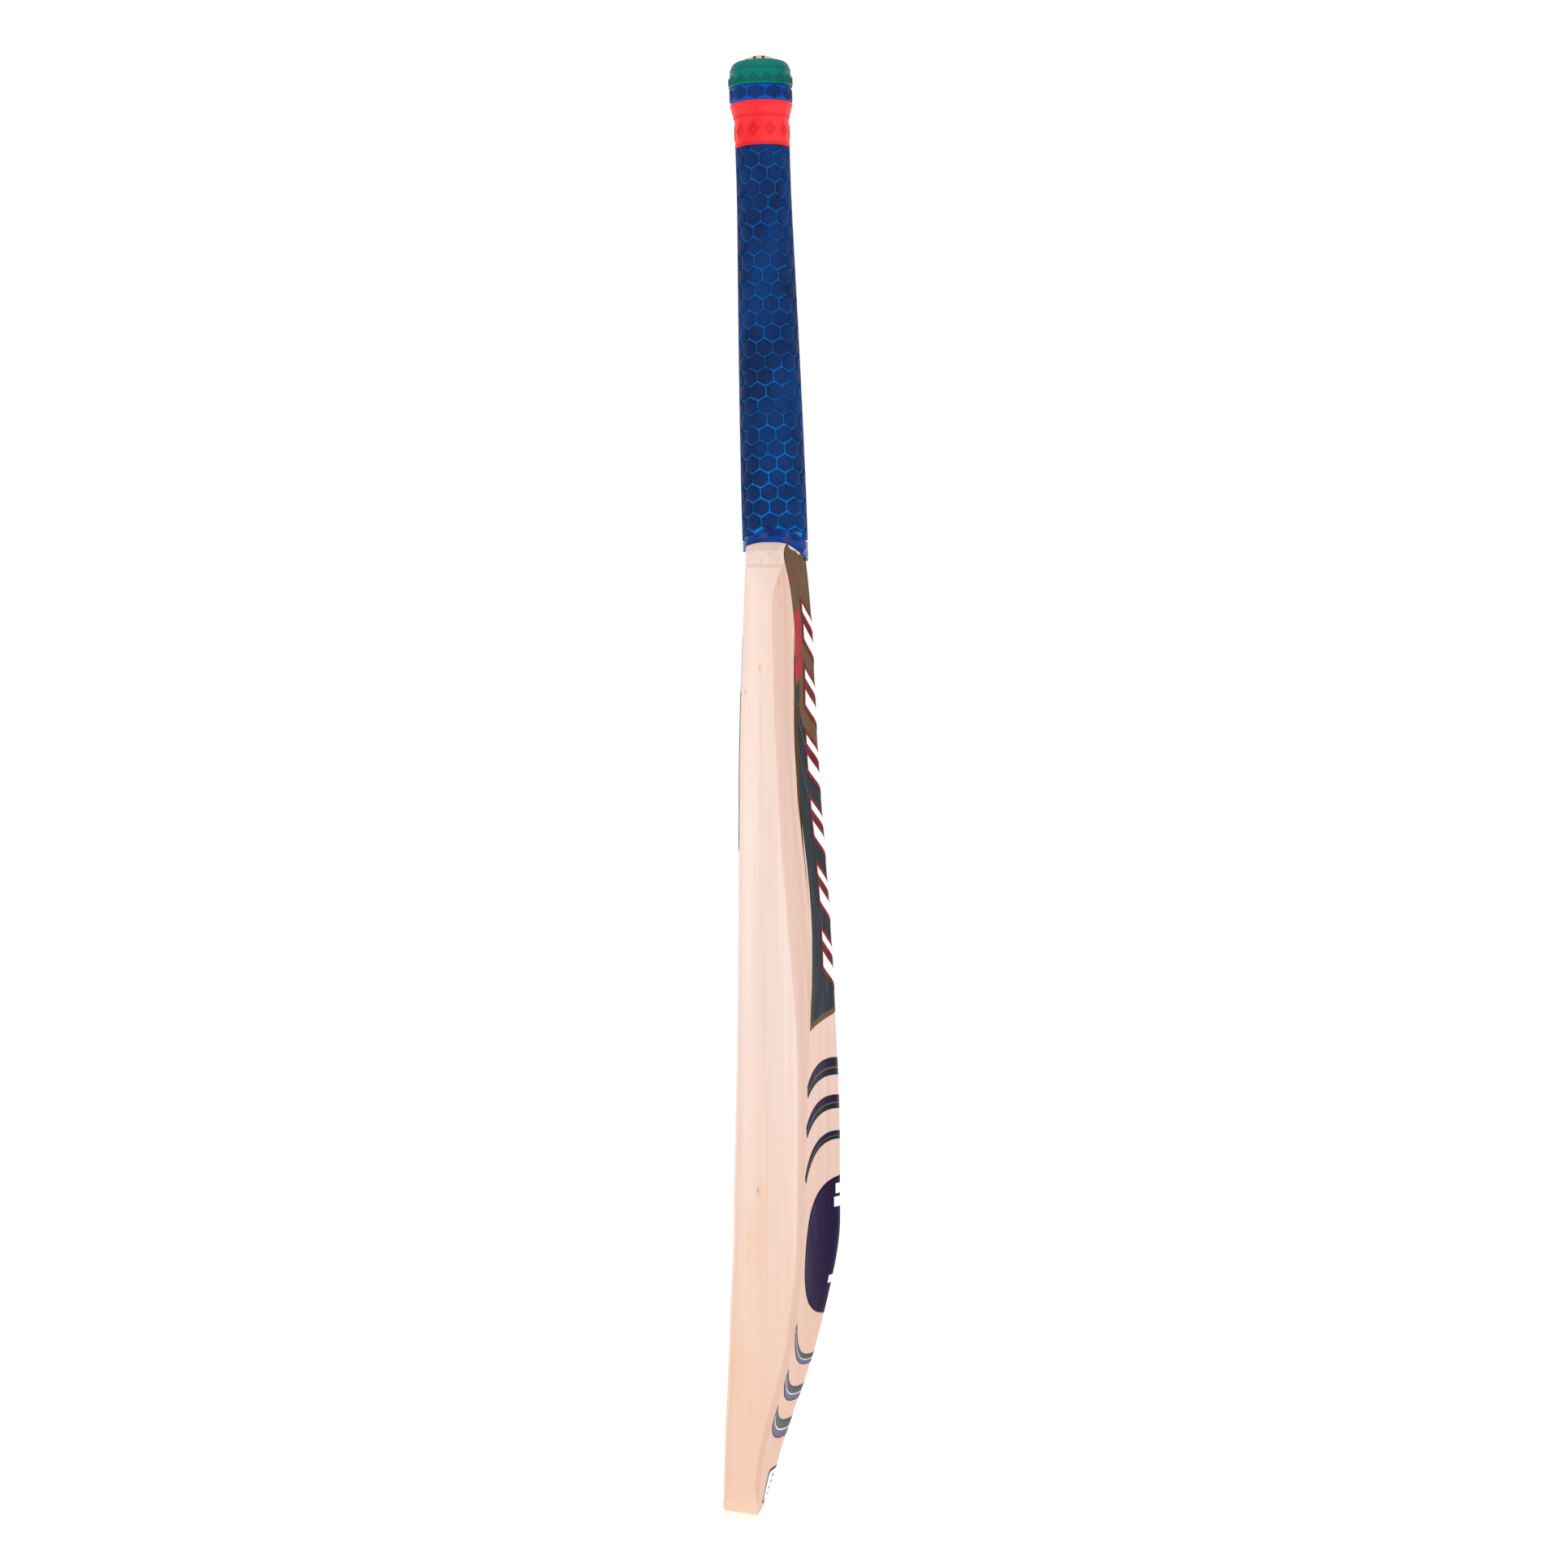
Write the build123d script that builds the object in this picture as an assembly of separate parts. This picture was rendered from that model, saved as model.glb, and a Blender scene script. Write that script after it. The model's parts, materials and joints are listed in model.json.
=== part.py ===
from build123d import *
import os
from math import cos, radians, sin, sqrt

# A full-size cricket bat with a short handle, in millimetres. X runs across the blade, Y goes through it
# from the hitting face (-Y) to the spine on its back (+Y), and Z points up the bat. The bat stands on its
# toe: the origin is on the flat underside of the toe guard, in the middle of the blade.

# ---- Overall sizes ----
BLADE_LENGTH = 564.6       # underside of the toe guard to the top of the shoulders
HANDLE_LENGTH = 286.2      # from there to the crown of the cane, along the handle
BLADE_WIDTH = 108.0
HANDLE_LEAN = 1.85         # degrees that the handle leans towards the hitting face

# ---- Blade ----
FACE_CAMBER = 2.0          # how far the hitting face bulges between its two corners
FACE_CORNER_R = 3.5
EDGE_SOFTENING = 1.2       # rounding where each edge turns into its bevel
SPINE_HALF_WIDTH = 8.0     # rounded ridge along the back
BACK_HOLLOW = 0.10         # dip of the back between bevel and spine, as a share of its rise
TOE_CORNER_R = 22.0
TOE_FLAT = (0.0, 6.5)      # Y from and to of the flat underside
TOE_FACE_SLOPE = (8.0, 2.2)     # depth and height of the slope from the flat towards the face
TOE_FACE_ROUND = (4.0, 6.5)     # depth and height of the rounding from there to the face
TOE_BACK_ROUND = (6.0, 5.6)     # and of the one from the flat to the back
SHOULDER_R = 34.0
NECK_HALF_WIDTH = 19.0     # where the shoulders meet the handle, seen from the front
SHOULDER_RISE = 2.0        # climb of the shoulders from there to the middle
SHOULDER_FACE_DROP = 4.5   # fall of the shoulders towards the hitting face
SHOULDER_BACK_DROP = 11.0  # and towards the back
TOE_GUARD_THICKNESS = 3.6
TOE_GUARD_CURL = 4.2       # climb of its glued joint from the middle of the blade to the edges
TOE_GUARD_FALL = 0.15      # slope of the joint down towards the back

# Sections up the blade. Share of the blade's length, then Y of the face crest, of the back corner of the
# edge and of the spine, then how far the bevel rises from the edge and how far it reaches in from it.
SECTIONS = [
    (-0.021, -11.8, 6.0, 7.4, 0.6, 2.0),
    (0.015, -12.0, 7.1, 13.3, 1.4, 2.5),
    (0.049, -11.5, 8.6, 19.5, 2.0, 3.0),
    (0.092, -10.8, 12.7, 27.2, 2.5, 3.2),
    (0.142, -9.4, 20.5, 37.0, 3.0, 3.4),
    (0.191, -8.4, 26.6, 45.0, 3.0, 3.5),
    (0.248, -7.1, 30.4, 52.4, 3.0, 3.5),
    (0.318, -6.0, 32.3, 56.1, 3.0, 3.6),
    (0.403, -4.9, 32.9, 55.8, 3.6, 4.0),
    (0.484, -4.1, 32.3, 54.1, 5.6, 5.0),
    (0.555, -3.6, 29.6, 52.0, 10.0, 7.0),
    (0.683, -3.0, 23.4, 47.1, 12.6, 9.0),
    (0.846, -1.9, 19.0, 41.3, 10.6, 9.0),
    (0.970, 0.7, 17.8, 36.8, 6.8, 7.0),
    (1.051, 2.4, 17.2, 34.4, 5.4, 6.0),
]

# ---- Handle ----
HANDLE_Y = 18.2            # Y of the handle's axis where it leaves the shoulders
HANDLE_R = 13.6            # radius of the cane in the straight top of the handle
STRAIGHT_LENGTH = 74.2     # length of that straight top
# Below it the cane is an oval: share of the handle's length above the shoulders, then how much its half
# depth (face to back) and its half width are larger than the top's radius.
HANDLE_SECTIONS = [
    (-0.060, 2.9, 1.4),
    (0.042, 3.2, 1.2),
    (0.112, 3.1, 0.9),
    (0.273, 2.5, 0.6),
    (0.454, 1.6, 0.4),
    (0.611, 0.6, 0.2),
]
CROWN_HEIGHT = 6.0         # domed end of the cane
STICK_WIDTH = 10.4         # cane sticks across the handle
INSERT_THICKNESS = 1.6     # rubber inserts between the layers of cane
INSERT_PITCH = 5.1
INSERT_COUNT = 3
INSERT_OFFSET = -2.9       # middle insert from the axis, towards the hitting face
SPLICE_DEPTH = 126.0       # depth of the V where the handle is let into the blade
SPLICE_TIP_HALF_WIDTH = 2.2
TWINE_THICKNESS = 0.7
TWINE_END_DEPTH = 11.2     # end of the twine binding, below the crown

# ---- Rubber grip ----
GRIP_WALL = 1.6
HEM_WALL = 1.4
COLLAR_WALL = 4.1
GREEN_LENGTH = 19.0        # from the crown down to the end of the green
RING_LENGTH = 9.6
RED_LENGTH = 25.6
FLARE_LENGTH = 9.0         # from the grip's straight part out to the collar
FLARE_FULLNESS = 0.62      # share of the flare that is reached half-way up it
FLARE_GAP = 0.3            # the red band ends this far inside the collar
# The collar closes over the end of the cane: how far in from its outside, and how far below the crown.
COLLAR_STRAIGHT_END = (0.0, 14.2)
COLLAR_SHOULDER = (1.2, 7.6)
COLLAR_ROUND = (2.6, 5.2)
COLLAR_LIP = (5.2, 3.9)
LIP_OVERHANG = 1.4         # how far the lip reaches in over the edge of the dome
HEM_FACE_RISE = 5.7        # height of the hem at the face, over an edge and at the back
HEM_SIDE_RISE = 7.5
HEM_BACK_RISE = 11.0

# ---- Stickers, printed films glued to the blade ----
FILM = 0.25
MAIN_LABEL_BOTTOM = 282.6
MAIN_LABEL_PEAK = 291.6
MAIN_LABEL_INSETS = (9.4, 7.0)     # in from the edge of the blade, at the shoulders and at the bottom
# Arcs between the labels: Z on the spine of the outer and inner line, Z of the end's two corners.
UPPER_ARCS = [
    (264.1, 254.1, 250.6, 244.2),
    (242.3, 234.4, 227.6, 221.2),
    (221.5, 216.6, 199.1, 194.9),
]
LOWER_ARCS = [
    (87.2, 93.1, 111.1, 115.7),
    (66.6, 74.8, 81.6, 89.6),
    (45.1, 55.6, 58.6, 68.6),
]
ARC_INSET = 4.0            # from the edge of the blade to the tips of the arcs
ARC_END_TAPER = 2.0        # how much further in their inner corners are
ARC_FULLNESS = 0.32        # how square the arcs are at their outer ends
OVAL_CENTRE_Z = 155.6
OVAL_HALF_HEIGHT = 40.3
OVAL_INSET = 8.5
TOE_LABEL = (6.6, 26.4, 22.0, 4.0)         # Z from and to, half width, corner radius
FACE_LABEL = (385.6, 510.6, 31.0, 12.0)
FILM_SPLIT_Y = 4.0         # films behind this are on the back, the others on the face

FAR = 400.0                # longer than anything that it has to cut

os.makedirs("parts", exist_ok=True)

lean = radians(HANDLE_LEAN)
half_width = BLADE_WIDTH / 2
# The handle's own frame: x towards the back, y across, z up its axis, zero at the shoulders.
handle_frame = Plane(
    origin=(0, HANDLE_Y, BLADE_LENGTH), x_dir=(0, cos(lean), sin(lean)), z_dir=(0, -sin(lean), cos(lean))
)


def save(shape, name):
    export_step(shape, f"parts/{name}.step")


def chain(points):
    """Edges through a list of points: two give a line, and a triple gives an arc through its middle."""
    edges = []
    for stretch in points:
        if len(stretch) == 2:
            edges.append(Edge.make_line(*stretch))
        else:
            edges.append(Edge.make_three_point_arc(*stretch))
    return edges


# ---------------------------------------------------------------- the blade's outer form

def blade_section(share, face, edge, spine, rise, inset, grow):
    """Outline across the blade at one height, pushed out by grow."""
    z = share * BLADE_LENGTH
    side = half_width + grow
    crest = face - grow
    low = crest + FACE_CAMBER
    bevel_x = half_width - inset + 0.4 * grow
    bevel_y = edge + rise + grow
    top = spine + grow

    # The spine is an arc that leaves the hollow back at the slope the back has there.
    run = bevel_x - SPINE_HALF_WIDTH
    hollow = BACK_HOLLOW * (top - bevel_y)
    share_of_run = SPINE_HALF_WIDTH / (2 * run)
    ridge_y = (top + share_of_run * (bevel_y - 4 * hollow)) / (1 + share_of_run)
    middle_of_back = ((bevel_x + SPINE_HALF_WIDTH) / 2, (bevel_y + ridge_y) / 2 - hollow)

    bevel_run = sqrt(inset ** 2 + rise ** 2)
    soft = min(EDGE_SOFTENING, bevel_run / 3)
    corner = edge + 0.4 * grow
    before = (side, corner - soft)
    after = (side - soft * inset / bevel_run, corner + soft * rise / bevel_run)
    between = ((before[0] + after[0] + 2 * side) / 4, (before[1] + after[1] + 2 * corner) / 4)
    r = FACE_CORNER_R
    cut = r * (1 - sqrt(0.5))

    right = [
        [(side - r, low), (side - cut, low + cut), (side, low + r)],
        [(side, low + r), before],
        [before, between, after],
        [after, (bevel_x, bevel_y)],
        [(bevel_x, bevel_y), middle_of_back, (SPINE_HALF_WIDTH, ridge_y)],
    ]
    left = [[(-x, y) for x, y in reversed(stretch)] for stretch in reversed(right)]
    face_line = [[(r - side, low), (0, crest), (side - r, low)]]
    spine_line = [[(SPINE_HALF_WIDTH, ridge_y), (0, top), (-SPINE_HALF_WIDTH, ridge_y)]]
    outline = face_line + right + spine_line + left
    return Wire(chain([[(x, y, z) for x, y in stretch] for stretch in outline]))


def blade_form(grow=0.0):
    return Solid.make_loft([blade_section(*section, grow) for section in SECTIONS])


def front_prism(outline, fall=0.0):
    """A prism through the blade on an outline drawn in X and Z, which may fall towards the back."""
    lift = fall * FAR / 2
    edges = chain([[(x, -FAR / 2, z + lift) for x, z in stretch] for stretch in outline])
    return Solid.extrude(Face(Wire(edges)), Vector(0, FAR, -2 * lift))


def side_prism(outline):
    """A prism across the bat on an outline drawn in Y and Z."""
    edges = chain([[(-FAR / 2, y, z) for y, z in stretch] for stretch in outline])
    return Solid.extrude(Face(Wire(edges)), Vector(FAR, 0, 0))


def front_outline():
    """Toe and shoulders as seen from the front: round toe corners and round shoulders."""
    w, r, s = half_width, TOE_CORNER_R, SHOULDER_R
    top = BLADE_LENGTH + SHOULDER_RISE
    shoulder_z = BLADE_LENGTH - s
    neck = (NECK_HALF_WIDTH, BLADE_LENGTH)
    start = w - s
    right = [
        [(w - r, 0), (w - r * (1 - sin(radians(45))), r * (1 - sin(radians(45)))), (w, r)],
        [(w, r), (w, shoulder_z)],
        [(w, shoulder_z), (start + s * cos(radians(45)), shoulder_z + s * sin(radians(45))),
         (start, BLADE_LENGTH)],
    ]
    if start > neck[0]:
        right.append([(start, BLADE_LENGTH), neck])
    peak = (0, top)
    right.append([right[-1][-1], peak])
    left = [[(-x, z) for x, z in reversed(stretch)] for stretch in reversed(right)]
    return right + left + [[(r - w, 0), (w - r, 0)]]


def toe_outline():
    """The blade from the side above its toe: a flat, a slope and a rounding to the face, one to the back."""
    y0, y1 = TOE_FLAT
    y2, z2 = y0 - TOE_FACE_SLOPE[0], TOE_FACE_SLOPE[1]
    (fy, fz), (by, bz) = TOE_FACE_ROUND, TOE_BACK_ROUND
    bulge = 1 - sqrt(0.5)
    open_z = 0.1 * BLADE_LENGTH     # where the outline has opened out clear of the blade
    return [
        [(y0, 0), (y1, 0)],
        [(y1, 0), (y1 + by * (1 - bulge), bz * bulge), (y1 + by, bz)],
        [(y1 + by, bz), (FAR / 2, open_z)],
        [(FAR / 2, open_z), (FAR / 2, 2 * BLADE_LENGTH)],
        [(FAR / 2, 2 * BLADE_LENGTH), (-FAR / 2, 2 * BLADE_LENGTH)],
        [(-FAR / 2, 2 * BLADE_LENGTH), (-FAR / 2, open_z)],
        [(-FAR / 2, open_z), (y2 - fy, z2 + fz)],
        [(y2 - fy, z2 + fz), (y2 - fy * (1 - bulge), z2 + fz * bulge), (y2, z2)],
        [(y2, z2), (y0, 0)],
    ]


def shoulder_line(face_lift=0.0, side_lift=0.0, back_lift=0.0):
    """The top of the shoulders from the side, as an arc from face to back, raised by three lifts."""
    return [
        (HANDLE_Y - 18.5, BLADE_LENGTH - SHOULDER_FACE_DROP + face_lift),
        (HANDLE_Y - 3.0, BLADE_LENGTH + side_lift),
        (HANDLE_Y + 20.0, BLADE_LENGTH - SHOULDER_BACK_DROP + back_lift),
    ]


def below(line):
    """Everything lower than an arc that runs from face to back."""
    first, _, last = line
    low = -FAR / 2
    return side_prism([
        line,
        [last, (FAR / 2, last[1])],
        [(FAR / 2, last[1]), (FAR / 2, low)],
        [(FAR / 2, low), (-FAR / 2, low)],
        [(-FAR / 2, low), (-FAR / 2, first[1])],
        [(-FAR / 2, first[1]), first],
    ])


def above(line):
    first, _, last = line
    high = BLADE_LENGTH + FAR
    return side_prism([
        line,
        [last, (FAR / 2, last[1])],
        [(FAR / 2, last[1]), (FAR / 2, high)],
        [(FAR / 2, high), (-FAR / 2, high)],
        [(-FAR / 2, high), (-FAR / 2, first[1])],
        [(-FAR / 2, first[1]), first],
    ])


shoulders = shoulder_line()
trim = front_prism(front_outline()) & side_prism(toe_outline()) & below(shoulders)
blank = blade_form() & trim

# ---------------------------------------------------------------- the cane handle's outer form

straight_from = HANDLE_LENGTH - STRAIGHT_LENGTH
crown_base = HANDLE_LENGTH - CROWN_HEIGHT


def oval(height, more_depth, more_width, grow):
    r = HANDLE_R + grow
    return Wire(Edge.make_ellipse(r + more_depth, r + more_width, plane=handle_frame.offset(height)))


def handle_stretches(grow, top):
    """The handle's outside pushed out by grow: an oval lower part, and a straight round top up to a height."""
    ovals = [oval(share * HANDLE_LENGTH, *more, grow) for share, *more in HANDLE_SECTIONS]
    lower = Solid.make_loft(ovals + [oval(straight_from, 0, 0, grow)])
    upper = Solid.make_cylinder(HANDLE_R + grow, top - straight_from, handle_frame.offset(straight_from))
    return lower, upper


def handle_form(grow, top):
    lower, upper = handle_stretches(grow, top)
    return lower + upper


def turned(profile):
    """A solid of revolution about the handle's axis, from a profile of radius and height."""
    edges = chain([[(radius, 0, height) for radius, height in stretch] for stretch in profile])
    return handle_frame.location * Solid.revolve(Face(Wire(edges)), 360, Axis.Z)


# The end of the cane is domed: the cap of a ball that has its poles out to the sides and its seam below.
ball_r = (HANDLE_R ** 2 + CROWN_HEIGHT ** 2) / (2 * CROWN_HEIGHT)
ball_middle = handle_frame.offset(HANDLE_LENGTH - ball_r).origin
ball = Solid.make_sphere(ball_r, Plane(origin=ball_middle, x_dir=-handle_frame.z_dir, z_dir=(1, 0, 0)))
crown = ball & Solid.make_cylinder(2 * HANDLE_R, 2 * CROWN_HEIGHT, handle_frame.offset(crown_base))

splice_top = BLADE_LENGTH + SHOULDER_RISE
splice_tip = BLADE_LENGTH - SPLICE_DEPTH
splice_half_width = HANDLE_R + HANDLE_SECTIONS[0][2]
splice_corners = [
    (-SPLICE_TIP_HALF_WIDTH, splice_tip),
    (SPLICE_TIP_HALF_WIDTH, splice_tip),
    (splice_half_width, splice_top),
    (-splice_half_width, splice_top),
]
wedge = front_prism([[splice_corners[i - 1], splice_corners[i]] for i in range(4)])
cane_lower, cane_upper = handle_stretches(0.0, crown_base)
cane_stretches = [cane_lower, cane_upper, crown, blank & wedge]

blade_and_guard = blank - wedge - cane_lower
joint_side_z = TOE_GUARD_THICKNESS + TOE_GUARD_CURL
under_joint = front_prism([
    [(-half_width, joint_side_z), (0, TOE_GUARD_THICKNESS), (half_width, joint_side_z)],
    [(half_width, joint_side_z), (half_width, -FAR)],
    [(half_width, -FAR), (-half_width, -FAR)],
    [(-half_width, -FAR), (-half_width, joint_side_z)],
], TOE_GUARD_FALL)
save(blade_and_guard - under_joint, "blade")
save(blade_and_guard & under_joint, "toe_guard")

# ---------------------------------------------------------------- cane sticks and rubber inserts

insert_faces = []
for i in range(INSERT_COUNT):
    middle = INSERT_OFFSET + (i - (INSERT_COUNT - 1) / 2) * INSERT_PITCH
    insert_faces.append((middle - INSERT_THICKNESS / 2, middle + INSERT_THICKNESS / 2))


def slab(x_from, x_to, y_from, y_to):
    """A bar along the handle, between two depths and two widths in the handle's own frame."""
    bar = Solid.make_box(x_to - x_from, y_to - y_from, 3 * FAR, Plane(origin=(x_from, y_from, -FAR)))
    return handle_frame.location * bar


def through_handle(bar):
    """What a bar holds of the handle: each stretch is cut by itself, then they are joined."""
    first, *others = [stretch & bar for stretch in cane_stretches]
    return first.fuse(*others)


for i, (start, end) in enumerate(insert_faces):
    save(through_handle(slab(start, end, -FAR / 2, FAR / 2)), f"rubber_insert_{i + 1}")

layer_starts = [-FAR / 2] + [end for start, end in insert_faces]
layer_ends = [start for start, end in insert_faces] + [FAR / 2]
layer_names = ["face", "front", "rear", "back"]
columns = {
    "left": (-FAR / 2, -STICK_WIDTH / 2),
    "middle": (-STICK_WIDTH / 2, STICK_WIDTH / 2),
    "right": (STICK_WIDTH / 2, FAR / 2),
}
for layer, start, end in zip(layer_names, layer_starts, layer_ends):
    for column, (y_from, y_to) in columns.items():
        save(through_handle(slab(start, end, y_from, y_to)), f"cane_{layer}_{column}")

# ---------------------------------------------------------------- twine, rubber grip and its hem

over_shoulders = above(shoulders)
twine_top = HANDLE_LENGTH - TWINE_END_DEPTH
twine_form = handle_form(TWINE_THICKNESS, twine_top)
save((twine_form - handle_form(0.0, twine_top)) & over_shoulders, "twine_binding")

hem_line = shoulder_line(HEM_FACE_RISE, HEM_SIDE_RISE, HEM_BACK_RISE)
hem_form = handle_form(TWINE_THICKNESS + HEM_WALL, straight_from + 1)
hem = (hem_form - twine_form) & over_shoulders & below(hem_line)
save(hem, "grip_hem")

green_from = HANDLE_LENGTH - GREEN_LENGTH
ring_from = green_from - RING_LENGTH
red_from = ring_from - RED_LENGTH
sleeve_form = handle_form(TWINE_THICKNESS + GRIP_WALL, red_from)
sleeve = (sleeve_form - twine_form) & above(hem_line)
save(sleeve, "grip_sleeve_blue")

bore = HANDLE_R + TWINE_THICKNESS
grip_r = bore + GRIP_WALL
collar_r = bore + COLLAR_WALL
flare_from = ring_from - FLARE_LENGTH
flare_r = collar_r - FLARE_GAP
flare_middle = (grip_r + FLARE_FULLNESS * (flare_r - grip_r), (flare_from + ring_from) / 2)
red_band = turned([
    [(bore, red_from), (grip_r, red_from)],
    [(grip_r, red_from), (grip_r, flare_from)],
    [(grip_r, flare_from), flare_middle, (flare_r, ring_from)],
    [(flare_r, ring_from), (bore, ring_from)],
    [(bore, ring_from), (bore, red_from)],
])
save(red_band, "grip_band_red")

ring_corners = [(bore, ring_from), (collar_r, ring_from), (collar_r, green_from), (bore, green_from)]
save(turned([[ring_corners[i - 1], ring_corners[i]] for i in range(4)]), "grip_ring_blue")


def ball_height(radius):
    """Height of the domed end of the cane at a radius."""
    return HANDLE_LENGTH - ball_r + sqrt(ball_r ** 2 - radius ** 2)


# The collar's bore steps in over the end of the twine, and its lip closes over the edge of the dome.
opening_r = HANDLE_R - LIP_OVERHANG
under_lip_r = HANDLE_R - LIP_OVERHANG / 2
collar = [(collar_r - inward, HANDLE_LENGTH - depth) for inward, depth in
          (COLLAR_STRAIGHT_END, COLLAR_SHOULDER, COLLAR_ROUND, COLLAR_LIP)]
lip_height = collar[-1][1]
grip_end = turned([
    [(bore, green_from), (collar_r, green_from)],
    [(collar_r, green_from), collar[0]],
    [collar[0], collar[1]],
    [collar[1], collar[2], collar[3]],
    [collar[3], (opening_r, lip_height)],
    [(opening_r, lip_height), (opening_r, ball_height(opening_r))],
    [(opening_r, ball_height(opening_r)), (under_lip_r, ball_height(under_lip_r)), (HANDLE_R, crown_base)],
    [(HANDLE_R, crown_base), (HANDLE_R, twine_top)],
    [(HANDLE_R, twine_top), (bore, twine_top)],
    [(bore, twine_top), (bore, green_from)],
])
save(grip_end, "grip_end_green")

# ---------------------------------------------------------------- stickers

films = (blade_form(FILM) & trim) - blank
back_half = Solid.make_box(FAR, FAR, 2 * FAR, Plane(origin=(-FAR / 2, FILM_SPLIT_Y, -10)))
face_half = Solid.make_box(FAR, FAR, 2 * FAR, Plane(origin=(-FAR / 2, FILM_SPLIT_Y - FAR, -10)))


def film_label(outline, half, name):
    save(films & half & front_prism(outline), name)


def mirrored(right):
    return right + [[(-x, z) for x, z in reversed(stretch)] for stretch in reversed(right)]


main_top, main_bottom = (half_width - inset for inset in MAIN_LABEL_INSETS)
film_label(mirrored([
    [(0, MAIN_LABEL_PEAK), (main_bottom, MAIN_LABEL_BOTTOM)],
    [(main_bottom, MAIN_LABEL_BOTTOM), (main_top, BLADE_LENGTH)],
    [(main_top, BLADE_LENGTH), (0, BLADE_LENGTH)],
]), back_half, "label_back_main")


def arc_label(spine_outer, spine_inner, end_outer, end_inner):
    """A crescent across the back: two arcs that meet short rounded ends near the edges."""
    w = half_width - ARC_INSET
    keep = 1 - ARC_FULLNESS

    def half_arc(on_spine, at_end, reach):
        return [(reach, at_end), (reach * sqrt(0.5), at_end + (on_spine - at_end) * keep), (0, on_spine)]

    outer = half_arc(spine_outer, end_outer, w)
    inner = half_arc(spine_inner, end_inner, w - ARC_END_TAPER)
    return mirrored([outer[::-1], [outer[0], inner[0]], inner])


for i, arc in enumerate(UPPER_ARCS):
    film_label(arc_label(*arc), back_half, f"label_arc_upper_{i + 1}")
for i, arc in enumerate(LOWER_ARCS):
    film_label(arc_label(*arc), back_half, f"label_arc_lower_{i + 1}")

oval_plane = Plane(origin=(0, 0, OVAL_CENTRE_Z), x_dir=(1, 0, 0), z_dir=(0, -1, 0))
oval_face = Face(Wire(Edge.make_ellipse(half_width - OVAL_INSET, OVAL_HALF_HEIGHT, plane=oval_plane)))
save(films & back_half & Solid.extrude(oval_face, Vector(0, FAR, 0)), "label_back_oval")


def rounded_panel(z_from, z_to, half, radius):
    """A rectangle with round corners in X and Z."""
    sketch = RectangleRounded(2 * half, z_to - z_from, radius)
    plane = Plane(origin=(0, -FAR / 2, (z_from + z_to) / 2), x_dir=(1, 0, 0), z_dir=(0, 1, 0))
    return extrude(plane * sketch, FAR)


save(films & back_half & rounded_panel(*TOE_LABEL), "label_toe")
save(films & face_half & rounded_panel(*FACE_LABEL), "label_face")
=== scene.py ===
import json
from math import ceil, cos, floor, pi, radians, sin, sqrt

import bpy
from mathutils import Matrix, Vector
from mathutils.bvhtree import BVHTree


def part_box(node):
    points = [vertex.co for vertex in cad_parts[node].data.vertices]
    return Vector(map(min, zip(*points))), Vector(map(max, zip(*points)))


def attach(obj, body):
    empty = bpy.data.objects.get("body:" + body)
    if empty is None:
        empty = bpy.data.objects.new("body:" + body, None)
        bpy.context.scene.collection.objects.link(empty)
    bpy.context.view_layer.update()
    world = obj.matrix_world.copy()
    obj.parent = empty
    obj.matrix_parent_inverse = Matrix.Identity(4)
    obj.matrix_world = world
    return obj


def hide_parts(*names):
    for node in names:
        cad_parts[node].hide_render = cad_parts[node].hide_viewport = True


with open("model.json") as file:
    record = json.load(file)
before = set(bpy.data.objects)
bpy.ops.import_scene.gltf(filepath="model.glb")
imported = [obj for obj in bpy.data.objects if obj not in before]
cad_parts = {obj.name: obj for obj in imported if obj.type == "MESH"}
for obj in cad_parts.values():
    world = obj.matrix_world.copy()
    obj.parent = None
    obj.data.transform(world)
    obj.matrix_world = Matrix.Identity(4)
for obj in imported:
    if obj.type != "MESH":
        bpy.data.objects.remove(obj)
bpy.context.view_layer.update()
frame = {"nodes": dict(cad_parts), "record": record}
scene = bpy.context.scene

MM = 0.001
REACH = 0.1                # a ray from here always starts outside the bat

CAMERA_DISTANCE = 2.168
CAMERA_AZIMUTH = radians(90.55)
AIM = Vector((0.0, 0.0233, 0.4243))

# Moulded hexagons of the grip
PADS_AROUND = 10
ROW_PITCH = 8.45 * MM
FIRST_ROW = -160.3 * MM    # height of a row of pads, from the rack clip's place on the handle
FIRST_PAD = radians(-9)    # angle of a pad in that row, from +X towards the back
PAD_SIDE = 5.8 * MM
PAD_RISE = 2.65 * MM
GROOVE = 1.25 * MM
PAD_HEIGHT = 0.6 * MM      # from the grooves' floor to the foot of the ribs
PAD_PROUD = 0.05 * MM      # top of the ribs over the CAD surface
PAD_SINK = 0.1 * MM        # foot of a pad under the grooves' floor
PAD_SPREAD = 0.18 * MM     # how much wider a pad is at its foot
PAD_MARGIN = 0.25 * MM     # from a cut pad to the end of the sleeve
SMALLEST_PAD = 1.2 * MM    # cut pads lower than this are left out
RIB_PITCH = 1.25 * MM
RIB_HEIGHT = 0.32 * MM
RIB_SLANT = radians(40)
RIB_PROFILE = ((0.0, 0), (0.2, 1), (0.48, 1), (0.68, 0))   # share of the pitch, share of the height
RIB_SHADE = 0.6            # this share of its height down from its top, a rib takes the painted shade blue
RING_PAD_SIDE = 4.8 * MM
RING_PAD_RISE = 2.1 * MM
RING_PAD_HEIGHT = 0.55 * MM
RING_WALL = 4.0 * MM
RING_ROUNDING = 0.35 * MM
SLEEVE_WALL = 1.5 * MM
HEM_WALL = 1.3 * MM

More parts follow.
